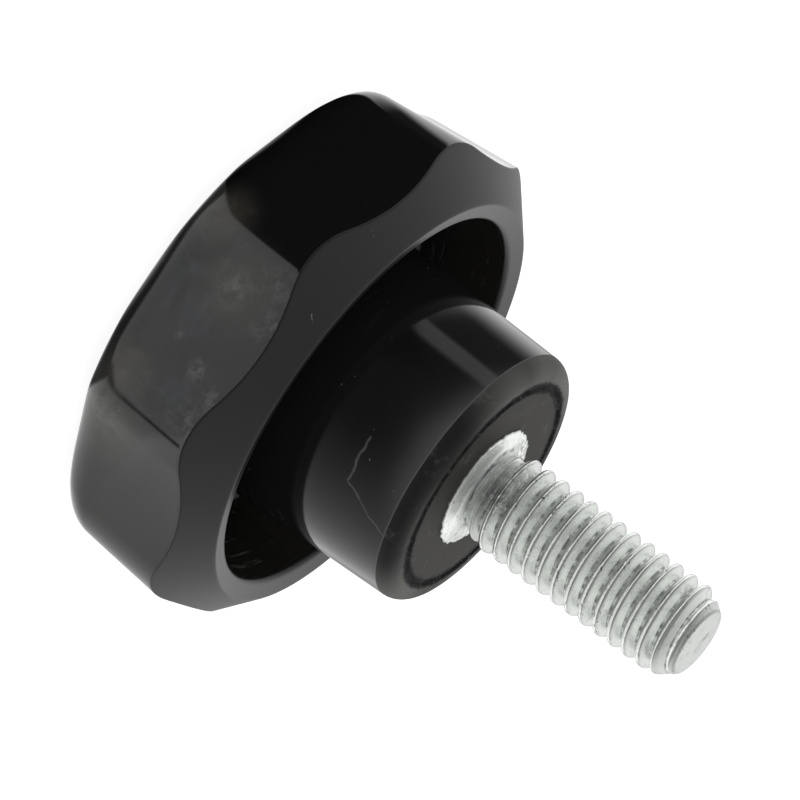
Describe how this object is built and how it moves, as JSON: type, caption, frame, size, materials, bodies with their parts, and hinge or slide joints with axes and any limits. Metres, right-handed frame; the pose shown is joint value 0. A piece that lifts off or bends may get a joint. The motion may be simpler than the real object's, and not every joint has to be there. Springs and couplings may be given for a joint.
{
  "type": "star knob",
  "caption": "Glossy moulded star knob: a lobed, hollow-backed head on a raised round hub, with a threaded steel stud moulded in.",
  "frame": {"origin": "centre of the front face that the head stands on, at the foot of the axis", "axes": "+Z along the axis from the front face to the stud's tip; +X through the middle of one lobe"},
  "size_m": [0.0318, 0.0318, 0.0337],
  "materials": {
    "moulding": "glossy black thermoset moulding, satin where it was trimmed at the rim and hub end",
    "zinc_plate": "bright zinc plating on steel"
  },
  "bodies": {
    "root": {"knob_head": "moulding", "threaded_stud": "zinc_plate"}
  },
  "joints": []
}
